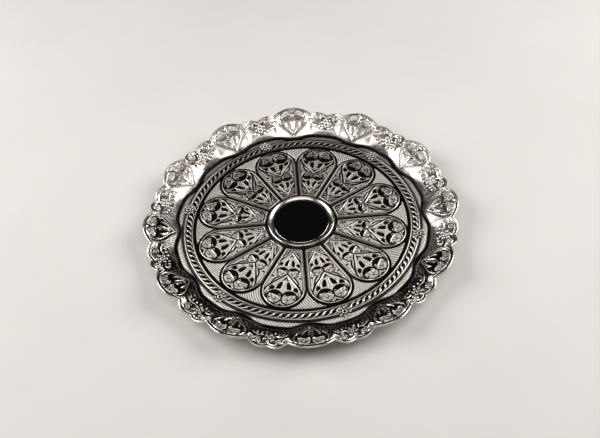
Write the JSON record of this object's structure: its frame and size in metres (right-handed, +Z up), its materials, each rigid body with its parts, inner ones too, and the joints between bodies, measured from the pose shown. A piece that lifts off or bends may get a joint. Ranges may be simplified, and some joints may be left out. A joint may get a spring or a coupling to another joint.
{
  "type": "offering plate",
  "caption": "Round footed metal plate with an embossed floor, a plain polished middle and a raised scalloped rim, for collecting or carrying offerings.",
  "frame": {"origin": "centre of the plate, on the plane that the foot ring stands on", "axes": "+Z up out of the dish, square to the floor; one large lobe of the rim points along +X"},
  "size_m": [0.2998, 0.2998, 0.0193],
  "materials": {
    "embossed_silver": "satin",
    "plain_silver": "satin",
    "polished_silver": "polished"
  },
  "bodies": {
    "root": {"floor_plate": "embossed_silver", "petal_panel_01": "embossed_silver", "petal_panel_02": "embossed_silver", "petal_panel_03": "embossed_silver", "petal_panel_04": "embossed_silver", "petal_panel_05": "embossed_silver", "petal_panel_06": "embossed_silver", "petal_panel_07": "embossed_silver", "petal_panel_08": "embossed_silver", "petal_panel_09": "embossed_silver", "petal_panel_10": "embossed_silver", "petal_panel_11": "embossed_silver", "petal_panel_12": "embossed_silver", "rope_band": "embossed_silver", "border_rosette_1": "embossed_silver", "border_rosette_2": "embossed_silver", "border_rosette_3": "embossed_silver", "border_rosette_4": "embossed_silver", "border_rosette_5": "embossed_silver", "border_rosette_6": "embossed_silver", "rim_border": "embossed_silver", "foot_ring": "plain_silver", "centre_collar": "plain_silver", "border_wire_inner": "plain_silver", "border_wire_outer": "plain_silver", "edge_wire": "plain_silver", "centre_disc": "polished_silver"}
  },
  "joints": []
}
